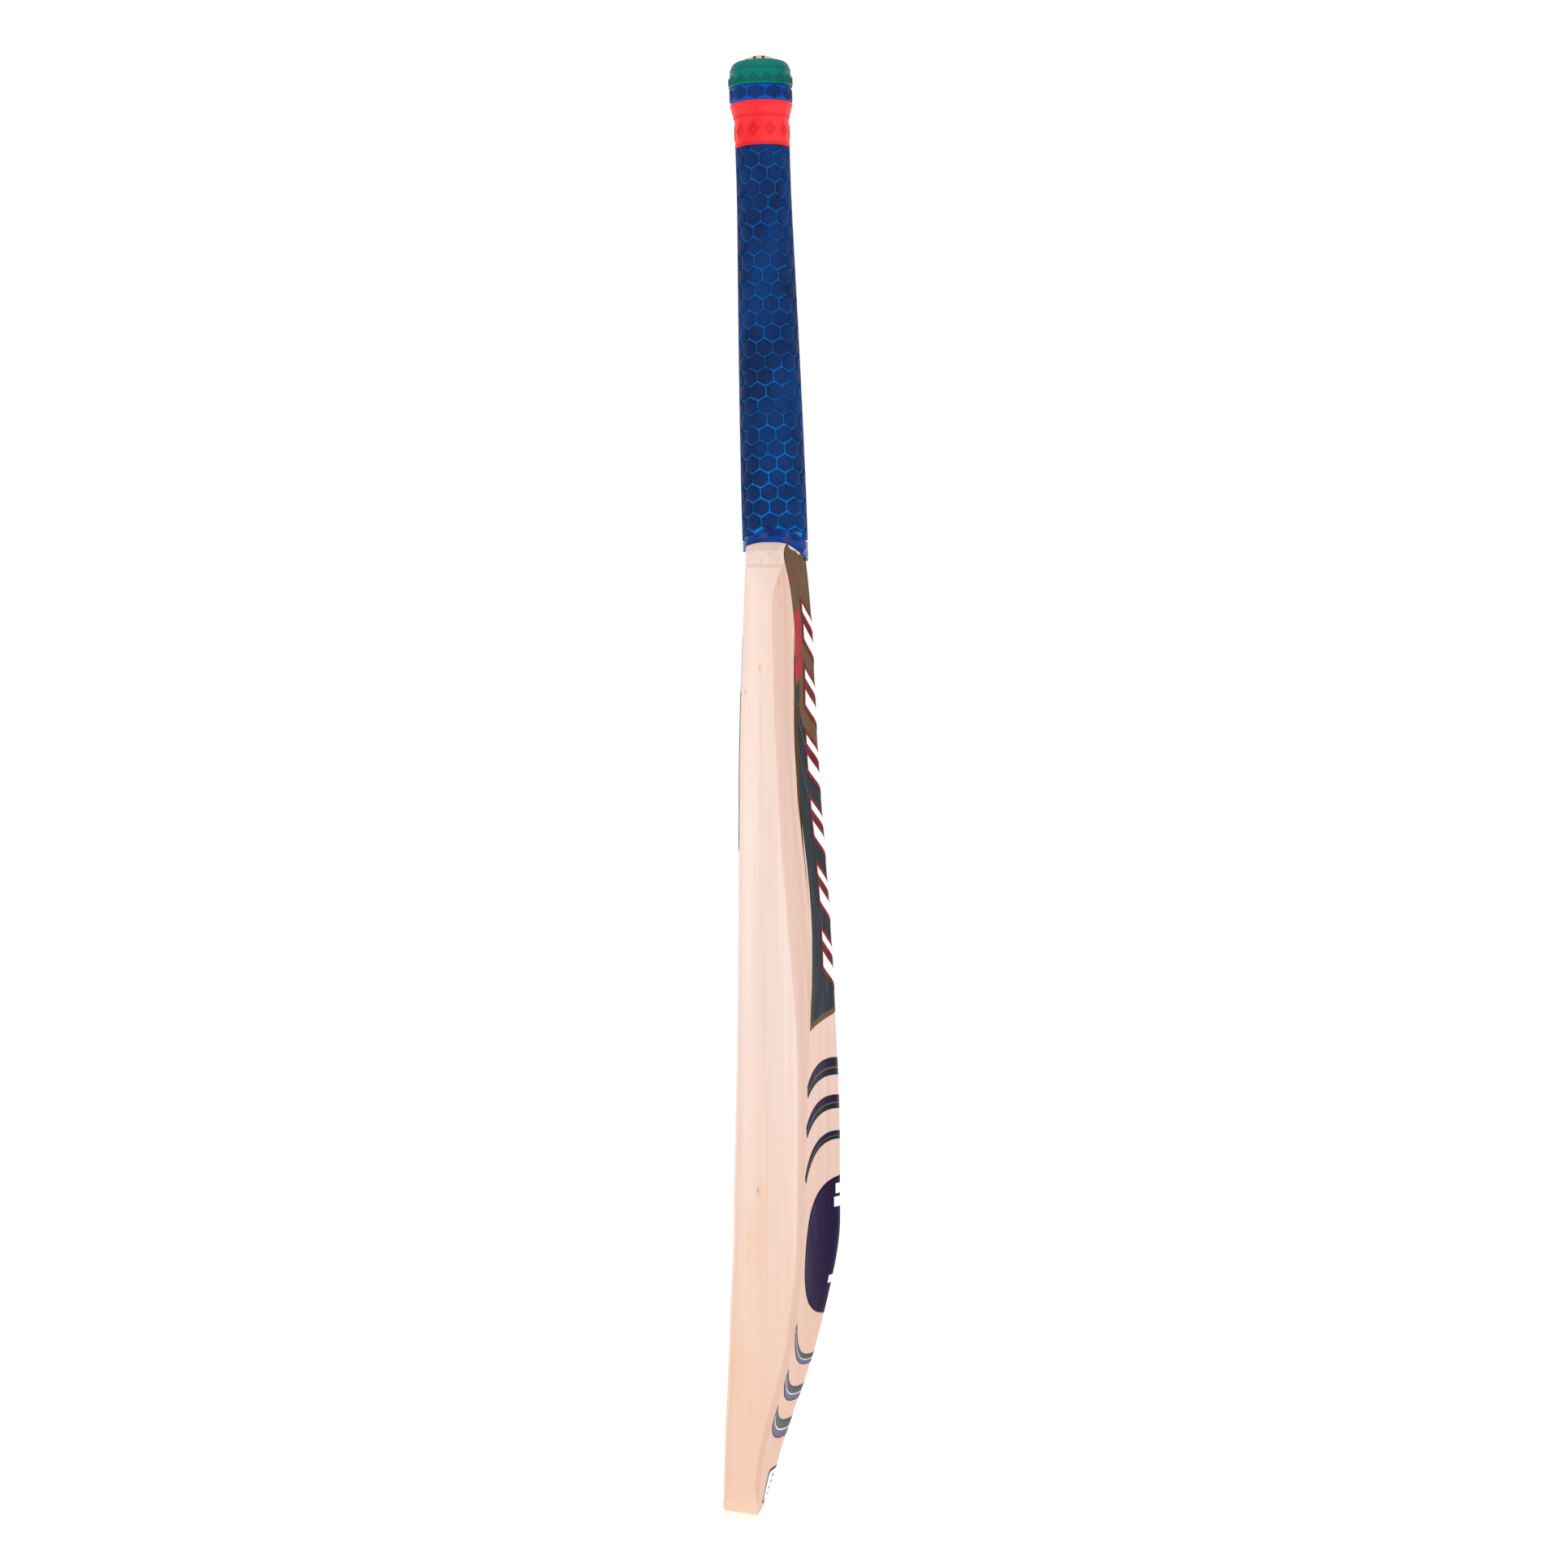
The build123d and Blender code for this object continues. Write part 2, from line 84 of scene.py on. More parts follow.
# Raised relief of the red band and the green end: heights are from a piece's lower edge
DIAMONDS_AROUND = 10
DIAMOND_MIDDLE = 9.0 * MM
DIAMOND_HALF_HEIGHT = 4.4 * MM
DIAMOND_HALF_WIDTH = 0.36  # share of their pitch
DIAMOND_LIFT = 0.42 * MM
CHEVRONS_AROUND = 14
CHEVRON_MIDDLE = 4.4 * MM
CHEVRON_LIFT = 0.5 * MM
STEEP = 0.07 * MM          # relief that climbs more than this in one face takes the painted shade colour
SEAM = 0.02 * MM           # a turned band's rings stop this short of its neighbours
SIDE_ANGLE = 0.003         # rays here miss the seam of the CAD surface

# The big sticker on the back: heights are in mm from its lower edge, distances in from its outer edge
TEAL_TOP_AT_EDGE = 198
TEAL_TOP_AT_SPINE = 148
GOLD_LINES = ((150, 196, 7), (118, 180, 12))               # height at the spine, at the edge, sag
RED_PANELS = (226, 213, 199)
RED_PANEL_TALL, RED_PANEL_WIDE = 15, 18
BLUE_PANELS = ((184, 14), (170, 13))                       # height, tall
BLUE_PANEL_WIDE = 13
RED_DASH = ((3, 256), (17, 262))
CHEVRON_ROWS = 6
CHEVRON_PITCH = 38.0 * MM
FIRST_CHEVRON = 24 * MM
CHEVRON_ARMS = ((0, 8.5 * MM), (15.5 * MM, 5.0 * MM))      # rise over the tip, width
CHEVRON_REACH = 20 * MM
CHEVRON_DROP = 12 * MM
CHEVRON_OUTLINE = 2.6 * MM
BORDER = 1.6 * MM

# Bars in the oval: mm down from its top, tall, half as wide
OVAL_BARS = ((4.5, 5.8, 8.5), (12.2, 5.8, 10.0), (58.0, 4.5, 8.5))

# Flecks and patches on the edge of the willow: Y, Z and size in mm, tint and strength
WILLOW_FLECKS = (
    (9.0, 192.0, 1.5, (176, 104, 66), 0.6),
    (7.0, 163.0, 16.0, (236, 184, 150), 0.3),
    (12.0, 190.0, 8.0, (236, 184, 152), 0.3),
    (21.0, 540.0, 2.4, (222, 142, 96), 0.5),
    (22.0, 527.0, 2.0, (222, 142, 96), 0.45),
    (10.0, 491.0, 1.2, (196, 130, 96), 0.5),
    (2.0, 477.0, 1.0, (196, 130, 96), 0.5),
    (-4.0, 92.0, 14.0, (234, 182, 148), 0.25),
)

FILM = 0.25 * MM           # how far a sticker's surface stands off the wood
FILM_UNDERSIDE = 0.02 * MM
INK = 0.05 * MM            # one printed layer over another

WOOD_SHEEN = 0.12          # specular levels
RUBBER_SHEEN = 0.12
INK_SHEEN = 0.012


# ---------------------------------------------------------------- camera, light and floor

def make_camera():
    """Eye level with the middle of the bat, looking at its edge from a couple of metres away."""
    data = bpy.data.cameras.new("camera")
    data.lens = 85
    data.sensor_width = 36
    camera = bpy.data.objects.new("camera", data)
    away = Vector((sin(CAMERA_AZIMUTH), -cos(CAMERA_AZIMUTH), 0))
    camera.location = AIM + CAMERA_DISTANCE * away
    camera.rotation_euler = (-away).to_track_quat("-Z", "Y").to_euler()
    scene.collection.objects.link(camera)
    scene.camera = camera


def make_light(name, place, size, power):
    """A softbox that faces the middle of the bat."""
    data = bpy.data.lights.new(name, "AREA")
    data.shape = "RECTANGLE"
    data.size, data.size_y = size
    data.energy = power
    light = bpy.data.objects.new(name, data)
    light.location = place
    light.rotation_euler = (AIM - Vector(place)).to_track_quat("-Z", "Y").to_euler()
    scene.collection.objects.link(light)


def make_studio():
    """A room that looks white and lights less, a white floor, four tall softboxes and one overhead."""
    world = bpy.data.worlds.new("studio")
    scene.world = world
    world.use_nodes = True
    nodes, links = world.node_tree.nodes, world.node_tree.links
    seen = nodes["Background"]
    seen.inputs["Color"].default_value = (1, 1, 1, 1)
    seen.inputs["Strength"].default_value = 1.0
    shed = nodes.new("ShaderNodeBackground")
    shed.inputs["Color"].default_value = (1, 1, 1, 1)
    shed.inputs["Strength"].default_value = 0.6
    path = nodes.new("ShaderNodeLightPath")
    mix = nodes.new("ShaderNodeMixShader")
    links.new(path.outputs["Is Camera Ray"], mix.inputs["Fac"])
    links.new(shed.outputs[0], mix.inputs[1])
    links.new(seen.outputs[0], mix.inputs[2])
    links.new(mix.outputs[0], nodes["World Output"].inputs["Surface"])
    scene.view_settings.view_transform = "Standard"

    for side in (1, -1):
        for along in (1, -1):
            make_light(f"softbox_{side}_{along}", (1.25 * side, 1.15 * along, 0.75), (0.35, 1.7), 5.5)
    make_light("softbox_top", (0.5, 0.0, 2.1), (1.4, 1.4), 7)

    bpy.ops.mesh.primitive_circle_add(vertices=96, radius=6, fill_type="NGON", location=(0, 0, 0))
    ground = bpy.context.object
    ground.name = "studio_floor"
    material = bpy.data.materials.new("floor_white")
    material.use_nodes = True
    shader = material.node_tree.nodes["Principled BSDF"]
    shader.inputs["Base Color"].default_value = (0.8, 0.8, 0.8, 1)
    shader.inputs["Roughness"].default_value = 0.9
    shader.inputs["Specular IOR Level"].default_value = 0.0
    shader.inputs["Emission Color"].default_value = (1, 1, 1, 1)
    shader.inputs["Emission Strength"].default_value = 0.55
    ground.data.materials.append(material)


# ---------------------------------------------------------------- materials

def linear(rgb):
    """Screen colour from 0 to 255 as the linear colour that a shader takes."""
    return tuple((c / 255 / 12.92) if c <= 10 else ((c / 255 + 0.055) / 1.055) ** 2.4 for c in rgb) + (1,)


class Shader:
    """A node material around one Principled shader, with short calls for what is joined to it."""

    def __init__(self, name, roughness, specular):
        self.material = bpy.data.materials.new(name)
        self.material.use_nodes = True
        self.nodes = self.material.node_tree.nodes
        self.links = self.material.node_tree.links
        self.principled = self.nodes["Principled BSDF"]
        self.principled.inputs["Roughness"].default_value = roughness
        self.principled.inputs["Specular IOR Level"].default_value = specular
        self.place = self.nodes.new("ShaderNodeTexCoord").outputs["Object"]

    def stretched(self, scale):
        """The place on the bat, in its own number of units per metre along X, Y and Z."""
        mapping = self.nodes.new("ShaderNodeMapping")
        mapping.inputs["Scale"].default_value = scale
        self.links.new(self.place, mapping.inputs["Vector"])
        return mapping.outputs["Vector"]

    def noise(self, scale, detail=3.0, roughness=0.55):
        """Noise with its own number of spots per metre along X, Y and Z."""
        noise = self.nodes.new("ShaderNodeTexNoise")
        noise.inputs["Scale"].default_value = 1.0
        noise.inputs["Detail"].default_value = detail
        noise.inputs["Roughness"].default_value = roughness
        self.links.new(self.stretched(scale), noise.inputs["Vector"])
        return noise.outputs["Fac"]

    def ranged(self, value, low, high, to_low=0.0, to_high=1.0):
        """A value's climb from low to high, as a smooth climb between two others."""
        node = self.nodes.new("ShaderNodeMapRange")
        node.interpolation_type = "SMOOTHSTEP"
        node.inputs["From Min"].default_value = low
        node.inputs["From Max"].default_value = high
        node.inputs["To Min"].default_value = to_low
        node.inputs["To Max"].default_value = to_high
        self.links.new(value, node.inputs["Value"])
        return node.outputs["Result"]

    def mixed(self, share, first, second):
        """Colour between two: each is a screen colour or the output of another node."""
        node = self.nodes.new("ShaderNodeMix")
        node.data_type = "RGBA"
        self.links.new(share, node.inputs["Factor"])
        for colour, socket in ((first, node.inputs[6]), (second, node.inputs[7])):
            if isinstance(colour, tuple):
                socket.default_value = linear(colour)
            else:
                self.links.new(colour, socket)
        return node.outputs[2]

    def distance(self, centre, stretch):
        """Distance from a point, in metres, with each axis stretched."""
        offset = self.nodes.new("ShaderNodeVectorMath")
        offset.operation = "SUBTRACT"
        self.links.new(self.place, offset.inputs[0])
        offset.inputs[1].default_value = centre
        scaled = self.nodes.new("ShaderNodeVectorMath")
        scaled.operation = "MULTIPLY"
        self.links.new(offset.outputs[0], scaled.inputs[0])
        scaled.inputs[1].default_value = stretch
        length = self.nodes.new("ShaderNodeVectorMath")
        length.operation = "LENGTH"
        self.links.new(scaled.outputs[0], length.inputs[0])
        return length.outputs["Value"]

    def colour(self, output):
        self.links.new(output, self.principled.inputs["Base Color"])

    def vary_roughness(self, value, low, high):
        self.links.new(self.ranged(value, 0.3, 0.7, low, high), self.principled.inputs["Roughness"])

    def bump(self, value, depth):
        """Raises the surface by up to depth, in metres."""
        node = self.nodes.new("ShaderNodeBump")
        node.inputs["Strength"].default_value = 1.0
        node.inputs["Distance"].default_value = depth
        self.links.new(value, node.inputs["Height"])
        self.links.new(node.outputs["Normal"], self.principled.inputs["Normal"])


def willow():
    """Bleached willow: fine grain along the blade, faint year lines, orange heartwood patches and flecks,
    and painted shade on the faces turned to the back.
    """
    shader = Shader("willow", 0.5, WOOD_SHEEN)
    grain = shader.noise((420, 420, 7), detail=5)
    streaks = shader.noise((85, 85, 2.2), detail=3)
    patches = shader.noise((16, 16, 5), detail=2)
    colour = shader.mixed(shader.ranged(streaks, 0.36, 0.66), (229, 205, 194), (240, 220, 210))
    colour = shader.mixed(shader.ranged(patches, 0.42, 0.68, 0, 0.5), colour, (234, 204, 188))
    colour = shader.mixed(shader.ranged(grain, 0.5, 0.72, 0, 0.3), colour, (216, 176, 156))

    wave = shader.nodes.new("ShaderNodeTexWave")
    wave.bands_direction = "X"
    wave.inputs["Scale"].default_value = 1.0
    wave.inputs["Distortion"].default_value = 1.6
    wave.inputs["Detail"].default_value = 2.0
    shader.links.new(shader.stretched((29, 9, 0.9)), wave.inputs["Vector"])
    colour = shader.mixed(shader.ranged(wave.outputs["Fac"], 0.9, 0.99, 0, 0.3), colour, (206, 160, 134))

    split = shader.nodes.new("ShaderNodeSeparateXYZ")
    shader.links.new(shader.place, split.inputs[0])
    colour = shader.mixed(shader.ranged(split.outputs["Z"], 0.0, 0.3, 0.85, 0), colour, (228, 190, 164))
    # painted shade: faces turned towards the back (+Y) take a darker willow colour
    normal_for_painted_shade = shader.nodes.new("ShaderNodeSeparateXYZ")
    shader.links.new(shader.nodes.new("ShaderNodeTexCoord").outputs["Normal"], normal_for_painted_shade.inputs[0])
    colour = shader.mixed(shader.ranged(normal_for_painted_shade.outputs["Y"], 0.05, 0.3, 0, 0.5), colour, (214, 170, 152))

    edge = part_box("blade")[1][0]
    for y, z, size, tint, strength in WILLOW_FLECKS:
        away = shader.distance((edge, y * MM, z * MM), (0.25, 1.5, 0.45))
        colour = shader.mixed(shader.ranged(away, 0.15 * size * MM, size * MM, strength, 0), colour, tint)
    shader.colour(colour)
    shader.vary_roughness(streaks, 0.42, 0.56)
    shader.bump(grain, 0.05 * MM)
    return shader.material


def cane():
    """Rattan: straw brown, fibres along the stick and dark pores on its cut end."""
    shader = Shader("rattan_cane", 0.5, WOOD_SHEEN)
    fibres = shader.noise((1000, 1000, 50), detail=2)
    streaks = shader.noise((350, 350, 12), detail=3)
    colour = shader.mixed(shader.ranged(streaks, 0.35, 0.65), (220, 186, 150), (240, 214, 184))
    colour = shader.mixed(shader.ranged(fibres, 0.52, 0.68, 0, 0.55), colour, (176, 132, 88))
    shader.colour(colour)
    shader.bump(fibres, 0.08 * MM)
    return shader.material


def matt(name, dark, light, roughness, grain=700, depth=0.03):
    """One colour with broad clouds and fine grain: rubber sheet, thread or moulded rubber."""
    shader = Shader(name, roughness, RUBBER_SHEEN)
    fine = shader.noise((grain, grain, grain), detail=2)
    broad = shader.noise((38, 38, 24), detail=3)
    shader.colour(shader.mixed(shader.ranged(broad, 0.35, 0.65), dark, light))
    shader.vary_roughness(broad, roughness - 0.06, roughness + 0.08)
    shader.bump(fine, depth * MM)
    return shader.material


def groove_blue():
    """The sleeve's ground between the pads: brighter towards the bottom, where the rubber is stretched."""
    shader = Shader("rubber_groove_blue", 0.5, RUBBER_SHEEN)
    split = shader.nodes.new("ShaderNodeSeparateXYZ")
    shader.links.new(shader.place, split.inputs[0])
    (_, _, bottom), (_, _, top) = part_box("grip_sleeve_blue")
    height = shader.ranged(split.outputs["Z"], bottom, bottom + 0.6 * (top - bottom))
    broad = shader.noise((60, 60, 60))
    colour = shader.mixed(height, (6, 128, 214), (8, 98, 180))
    shader.colour(shader.mixed(shader.ranged(broad, 0.42, 0.62, 0, 0.75), colour, (8, 66, 130)))
    return shader.material


def print_ink(name, rgb, scuffed=0.48):
    """Printed film, with faint lighter scuffs."""
    roughness = 0.3
    shader = Shader(name, roughness, INK_SHEEN)
    scuffs = shader.noise((260, 260, 40), detail=4)
    lighter = tuple(min(255, int(1.15 * c + 6)) for c in rgb)
    shader.colour(shader.mixed(shader.ranged(scuffs, 0.5, 0.78, 0, scuffed), rgb, lighter))
    shader.vary_roughness(scuffs, roughness - 0.05, roughness + 0.12)
    return shader.material


def toe_rubber():
    """Milky polyurethane with a waxy skin."""
    shader = Shader("toe_polyurethane", 0.38, 0.2)
    shader.principled.inputs["Subsurface Weight"].default_value = 0.25
    shader.principled.inputs["Subsurface Radius"].default_value = (0.004, 0.003, 0.002)
    clouds = shader.noise((120, 120, 120))
    shader.colour(shader.mixed(shader.ranged(clouds, 0.35, 0.7), (244, 238, 222), (236, 224, 204)))
    shader.bump(clouds, 0.06 * MM)
    return shader.material


def hem_rubber():
    """Thin stretched rubber, glossy, with a painted highlight on the raised folds."""
    shader = Shader("rubber_hem_blue", 0.22, 0.16)
    folds_and_highlight = shader.noise((90, 90, 240), detail=2)
    # painted highlight: the fold crests that the bump raises also take the lighter blue
    shader.colour(shader.mixed(shader.ranged(folds_and_highlight, 0.4, 0.65), (2, 42, 112), (4, 66, 152)))
    shader.bump(folds_and_highlight, 0.25 * MM)
    return shader.material


# ---------------------------------------------------------------- mesh helpers

def add_piece(name, points, faces, materials, slots, replaced=(), smooth=True):
    """A mesh piece that rides on the bat's one body, with a material number for each face."""
    mesh = bpy.data.meshes.new(name)
    mesh.from_pydata(points, [], faces)
    for material in materials:
        mesh.materials.append(material)
    mesh.polygons.foreach_set("material_index", slots)
    mesh.polygons.foreach_set("use_smooth", [smooth] * len(faces))
    mesh.update()
    piece = bpy.data.objects.new(name, mesh)
    scene.collection.objects.link(piece)
    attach(piece, "root")
    if replaced:
        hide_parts(*replaced)


class Surface:
    """The outside of some CAD nodes, which rays can find."""

    def __init__(self, *nodes):
        self.points, faces = [], []
        for node in nodes:
            mesh, first = frame["nodes"][node].data, len(self.points)
            self.points += [vertex.co.copy() for vertex in mesh.vertices]
            faces += [tuple(first + corner for corner in face.vertices) for face in mesh.polygons]
        self.tree = BVHTree.FromPolygons(self.points, faces)

    def radius(self, height, angle):
        """Distance from the handle's axis to the outside, or None where the node isn't."""
        out = outward(angle)
        found = self.tree.ray_cast(axis_point(height) + REACH * out, -out, REACH)
        return None if found[0] is None else REACH - found[3]

    def span(self):
        """Lowest and highest place along the handle's axis."""
        heights = [(point - HANDLE_ZERO).dot(UP) for point in self.points]
        return min(heights), max(heights)

    def depth(self, x, z, side):
        """Y of the outside at a place seen from the back (side 1) or from the face (-1)."""
        found = self.tree.ray_cast(Vector((x, side * REACH, z)), Vector((0, -side, 0)), 2 * REACH)
        return None if found[0] is None else found[0].y


# The handle's axis comes from the rack clip's mount: heights count from there.
clip = next(mount for mount in frame["record"]["mounts"] if mount["name"] == "grip_clip")
HANDLE_ZERO = Vector(clip["pos_m"])
UP = Vector(clip["axis"])
BACK = Vector((0, UP.z, -UP.y))


def outward(angle):
    """Direction away from the handle's axis: 0 is +X, a quarter turn is the back."""
    return cos(angle) * Vector((1, 0, 0)) + sin(angle) * BACK


def axis_point(height):
    return HANDLE_ZERO + height * UP


def on_handle(height, angle, radius):
    """Point around the handle."""
    return axis_point(height) + radius * outward(angle)


def steps(first, last, count):
    """Evenly spaced values with both ends."""
    return [first + (last - first) * i / (count - 1) for i in range(count)]


def smooth_step(low, high, value):
    """0 below low, 1 above high and smooth between."""
    share = min(1.0, max(0.0, (value - low) / (high - low)))
    return share * share * (3 - 2 * share)


class Oval:
    """The handle's oval outside, from a few rays: its two half axes against the height."""

    def __init__(self, surface, low, high, count=60):
        self.low, self.high = low, high
        self.across = self.measured(surface, count, (0.0, pi))
        self.through = self.measured(surface, count, (pi / 2, -pi / 2))

    def measured(self, surface, count, angles):
        found = []
        for height in steps(self.low, self.high, count):
            radii = [surface.radius(height, angle) for angle in angles]
            found.append(max([radius for radius in radii if radius is not None], default=None))
        known = [i for i, radius in enumerate(found) if radius is not None]
        return [found[min(known, key=lambda k: abs(k - i))] for i in range(count)]

    def radius(self, height, angle):
        place = (height - self.low) / (self.high - self.low) * (len(self.across) - 1)
        place = min(max(place, 0.0), len(self.across) - 1.001)
        i, share = int(place), place - int(place)
        a = self.across[i] * (1 - share) + self.across[i + 1] * share
        b = self.through[i] * (1 - share) + self.through[i + 1] * share
        return a * b / sqrt((b * cos(angle)) ** 2 + (a * sin(angle)) ** 2)


def tube_faces(around, along):
    """Quads of a tube that closes on itself both ways, like a torus."""
    faces = []
    for i in range(along):
        for j in range(around):
            right = (j + 1) % around
            up = (i + 1) % along
            faces.append((i * around + j, i * around + right, up * around + right, up * around + j))
    return faces


def add_tube(name, rings, around, materials, replaced, pick=None):
    """A closed tube from rings of points that run up its outside and down its bore."""
    points = [point for ring in rings for point in ring]
    faces = tube_faces(around, len(rings))
    slots = [pick(i // around, i % around) if pick else 0 for i in range(len(faces))]
    add_piece(name, points, faces, materials, slots, replaced)


def clip_line(polygon, normal, offset):
    """Where a line cuts a convex polygon: its two ends, in flat coordinates."""
    ends = []
    for (x0, y0), (x1, y1) in zip(polygon, polygon[1:] + polygon[:1]):
        d0 = x0 * normal[0] + y0 * normal[1] - offset
        d1 = x1 * normal[0] + y1 * normal[1] - offset
        if (d0 < 0) != (d1 < 0):
            share = d0 / (d0 - d1)
            ends.append((x0 + share * (x1 - x0), y0 + share * (y1 - y0)))
    return ends


def cut_polygon(polygon, limit, keep_below):
    """The part of a convex polygon below or above a height."""
    kept = []
    sign = 1 if keep_below else -1
    for (x0, y0), (x1, y1) in zip(polygon, polygon[1:] + polygon[:1]):
        d0, d1 = sign * (y0 - limit), sign * (y1 - limit)
        if d0 <= 0:
            kept.append((x0, y0))
        if (d0 < 0 < d1) or (d1 < 0 < d0):
            share = d0 / (d0 - d1)
            kept.append((x0 + share * (x1 - x0), limit))
    return kept


class Plates:
    """Many small raised plates in one mesh. Each has a flat outline, lines across it and a sloping side."""

    def __init__(self):
        self.points, self.faces, self.slots = [], [], []

    def add(self, polygon, slant, offsets, along, place, top, floor, spread, deep=None):
        """Adds one plate. Its lines lie at the offsets, at a slant, and have as many parts as along says.

        place(u, v, lift) gives a point in space, top(offset) a line's lift, and floor the foot's lift.
        The foot is wider by the spread. Faces whose middle lies below deep take the second material, a
        painted shade.
        """
        normal = (-sin(slant), cos(slant))
        run = (cos(slant), sin(slant))
        middle = [sum(c) / len(polygon) for c in zip(*polygon)]
        rows, used = [], []
        for offset in offsets:
            ends = clip_line(polygon, normal, offset)
            if len(ends) != 2:
                continue
            ends.sort(key=lambda end: end[0] * run[0] + end[1] * run[1])
            (x0, y0), (x1, y1) = ends
            lift = top(offset)
            rows.append([(x0 + (x1 - x0) * t, y0 + (y1 - y0) * t, lift) for t in steps(0, 1, along + 1)])
            used.append(offset)
        if len(rows) < 2:
            return
        base, wide = len(self.points), along + 1
        for row in rows:
            self.points += [place(*point) for point in row]
        for i in range(len(rows) - 1):
            sunk = deep is not None and top((used[i] + used[i + 1]) / 2) < deep
            for j in range(along):
                first = base + i * wide + j
                self.faces.append((first, first + 1, first + wide + 1, first + wide))
                self.slots.append(int(sunk))
        loop = [(0, j) for j in range(wide)]
        loop += [(i, along) for i in range(1, len(rows))]
        loop += [(len(rows) - 1, j) for j in range(along - 1, -1, -1)]
        loop += [(i, 0) for i in range(len(rows) - 2, 0, -1)]
        if spread == 0:
            self.add_underside(rows, loop, base, wide, place, floor)
            return
        foot = len(self.points)
        for i, j in loop:
            u, v, _ = rows[i][j]
            du, dv = u - middle[0], v - middle[1]
            stretch = 1 + spread / max(1e-6, sqrt(du ** 2 + dv ** 2))
            self.points.append(place(middle[0] + du * stretch, middle[1] + dv * stretch, floor))
        count = len(loop)
        for k in range(count):
            upper = [base + i * wide + j for i, j in (loop[k], loop[(k + 1) % count])]
            self.faces.append((upper[1], upper[0], foot + k, foot + (k + 1) % count))
        self.faces.append(tuple(foot + k for k in range(count - 1, -1, -1)))
        self.slots += [0] * (len(self.faces) - len(self.slots))

    def add_underside(self, rows, loop, base, wide, place, floor):
        """Closes a thin layer with a copy of its top, so that it stays parallel in a hollow too."""
        under = len(rows) * wide
        for row in rows:
            self.points += [place(u, v, floor) for u, v, _ in row]
        for i in range(len(rows) - 1):
            for j in range(wide - 1):
                first = base + under + i * wide + j
                self.faces.append((first, first + wide, first + wide + 1, first + 1))
        for (i0, j0), (i1, j1) in zip(loop, loop[1:] + loop[:1]):
            a, b = base + i0 * wide + j0, base + i1 * wide + j1
            self.faces.append((b, a, a + under, b + under))
        self.slots += [0] * (len(self.faces) - len(self.slots))


# ---------------------------------------------------------------- the rubber grip

def hexagon(half_width, side, rise, groove):
    """A pad's outline, pointing up, after half a groove has been taken off all round."""
    w = half_width - groove / 2
    slope = rise / half_width
    drop = groove / 2 * sqrt(1 + slope ** 2)
    corner = side / 2 - drop + groove / 2 * slope
    tip = side / 2 + rise - drop
    return [(w, -corner), (w, corner), (0, tip), (-w, corner), (-w, -corner), (0, -tip)]


def ribbed_pad(plates, outline, height, angle, slant, radius, lift_top, lift_floor):
    """One pad with its slanting ribs, wrapped round the handle at a height and an angle."""
    normal = (-sin(slant), cos(slant))
    reach = [x * normal[0] + y * normal[1] for x, y in outline]
    inset = 0.03 * MM
    low, high = min(reach) + inset, max(reach) - inset

    def rib_lift(offset):
        share = (offset / RIB_PITCH) % 1.0
        profile = RIB_PROFILE + ((1.0, 0),)
        for (s0, h0), (s1, h1) in zip(profile, profile[1:]):
            if s0 <= share <= s1:
                return lift_top - RIB_HEIGHT * (1 - h0 - (h1 - h0) * (share - s0) / (s1 - s0))
        return lift_top - RIB_HEIGHT

    offsets = {low, high} | {d for d in reach if low < d < high}
    for k in range(floor(low / RIB_PITCH), ceil(high / RIB_PITCH) + 1):
        offsets |= {(k + s) * RIB_PITCH for s, _ in RIB_PROFILE if low < (k + s) * RIB_PITCH < high}
    turn = radius(height, angle)

    def place(u, v, lift):
        a = angle + u / turn
        return on_handle(height + v, a, radius(height + v, a) + lift)

    # the low faces of the ribs take the second material, a painted shade
    plates.add(outline, slant, sorted(offsets), 3, place, rib_lift, lift_floor, PAD_SPREAD,
               lift_top - RIB_SHADE * RIB_HEIGHT)


def lowest(surface, angle, start, count=120, step=0.25 * MM):
    """Height where a node begins on this side of the handle."""
    for i in range(count):
        if surface.radius(start + i * step, angle) is not None:
            return start + i * step
    return start


